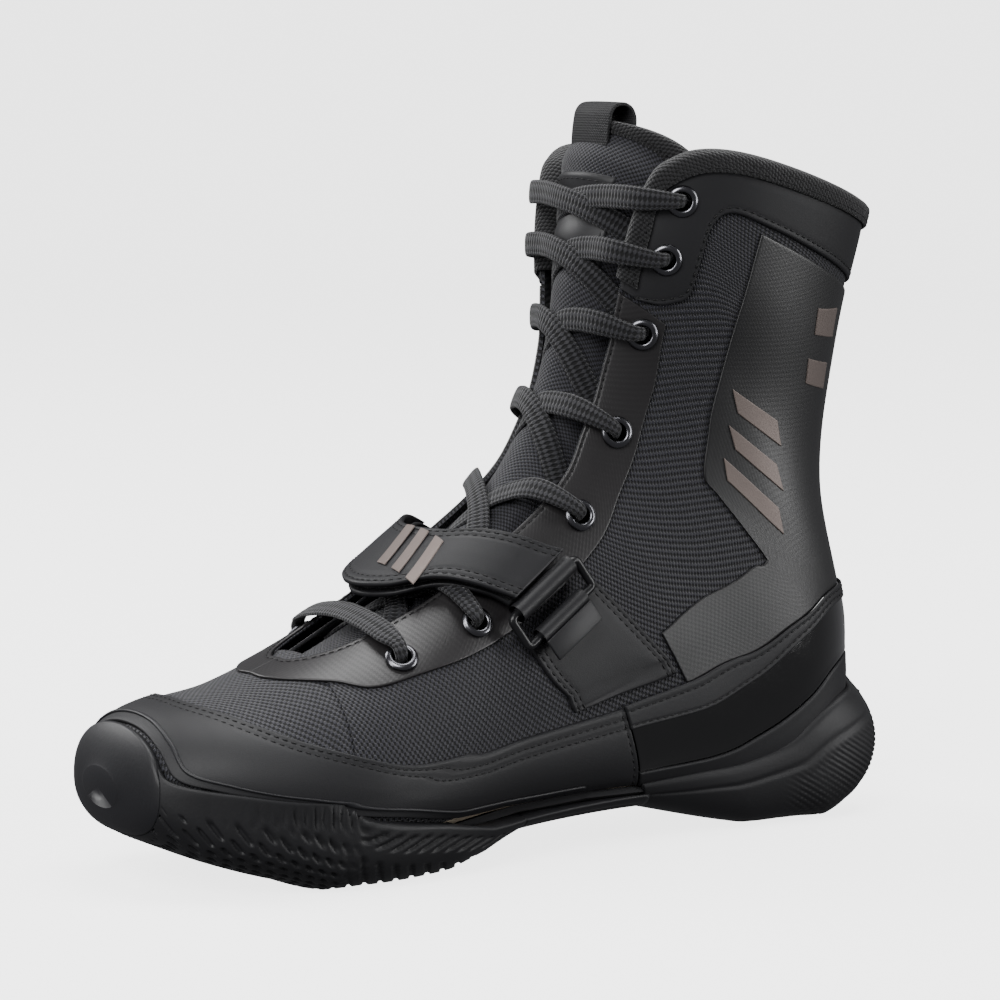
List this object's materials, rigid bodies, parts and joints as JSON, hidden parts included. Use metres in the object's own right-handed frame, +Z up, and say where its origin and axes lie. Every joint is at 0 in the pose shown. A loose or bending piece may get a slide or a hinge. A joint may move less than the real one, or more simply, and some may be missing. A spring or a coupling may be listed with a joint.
{
  "type": "boxing boot",
  "caption": "Laced high-top boxing boot with a mesh upper, film and synthetic overlays, an instep strap run through a wire ring, a padded tongue and a wrap-round rubber sole.",
  "frame": {"origin": "on the ground, under the middle of the boot's bounding box", "axes": "+Z up, +X towards the heel, toe towards -X, outer side towards -Y (a left boot)"},
  "size_m": [0.3016, 0.1026, 0.2534],
  "materials": {
    "outsole": "moulded black rubber with fine grooves",
    "foam": "cut EVA foam",
    "board": "fibre lasting board and stiffeners",
    "footbed": "textile over moulded foam",
    "lining": "brushed textile lining",
    "padding": "soft polyurethane foam",
    "mesh": "open knitted mesh",
    "film": "satin welded film",
    "matte_leather": "matte synthetic leather, stitched",
    "patent": "high gloss patent synthetic leather",
    "binding": "ribbed knit binding and webbing",
    "eyelet": "gunmetal plated brass",
    "lace": "flat braided polyester",
    "aglet": "wrapped acetate film",
    "foil": "matt taupe foil",
    "hook_loop": "hook and loop tape",
    "ring": "black coated steel wire"
  },
  "bodies": {
    "boot": {"outsole_forefoot": "outsole", "toe_bumper": "outsole", "arch_bridge": "outsole", "outsole_heel": "outsole", "midsole": "foam", "lasting_board": "board", "toe_puff": "board", "heel_counter": "board", "vamp_lining": "lining", "quarter_lining_lateral": "lining", "quarter_lining_medial": "lining", "collar_foam": "padding", "vamp_mesh": "mesh", "quarter_mesh_lateral": "mesh", "quarter_mesh_medial": "mesh", "toe_guard": "matte_leather", "eyestay_lateral": "film", "eyestay_medial": "film", "collar_panel_lateral": "matte_leather", "collar_panel_medial": "matte_leather", "rear_film_lateral": "film", "rear_film_medial": "film", "saddle_lateral": "matte_leather", "saddle_medial": "matte_leather", "heel_patent": "patent", "heel_band": "matte_leather", "collar_binding": "binding", "eyelets_lateral": "eyelet", "eyelets_medial": "eyelet", "eyelet_washers_lateral": "eyelet", "eyelet_washers_medial": "eyelet", "lace": "lace", "aglets": "aglet", "foil_bars": "foil", "strap_base": "matte_leather", "strap_loop": "hook_loop", "ring_keeper": "matte_leather"},
    "footbed": {"footbed": "footbed"},
    "tongue": {"tongue_front": "mesh", "tongue_foam": "padding", "tongue_lining": "lining", "tongue_binding": "binding", "tongue_label": "matte_leather", "pull_tab": "binding"},
    "strap_ring": {"strap_ring": "ring"},
    "strap_flap": {"strap_fold": "matte_leather", "strap_flap": "matte_leather", "strap_hook": "hook_loop", "strap_bars": "foil"}
  },
  "joints": [
    {"name": "footbed_lift", "type": "hinge", "parent": "boot", "child": "footbed", "pos_m": [-0.13931, 0, 0.02454], "axis": [0, -1, 0], "range_deg": [0, 8]},
    {"name": "tongue_tilt", "type": "hinge", "parent": "boot", "child": "tongue", "pos_m": [-0.06975, 0, 0.06434], "axis": [0, 1, 0], "range_deg": [0, 8]},
    {"name": "ring_tilt", "type": "hinge", "parent": "boot", "child": "strap_ring", "pos_m": [-0.00192, -0.0397, 0.08231], "axis": [0.8339, 0.1308, 0.5362], "range_deg": [0, 8]},
    {"name": "strap_open", "type": "hinge", "parent": "strap_ring", "child": "strap_flap", "pos_m": [-0.00736, -0.03835, 0.09245], "axis": [0.8339, 0.1308, 0.5362], "range_deg": [0, 110]}
  ]
}
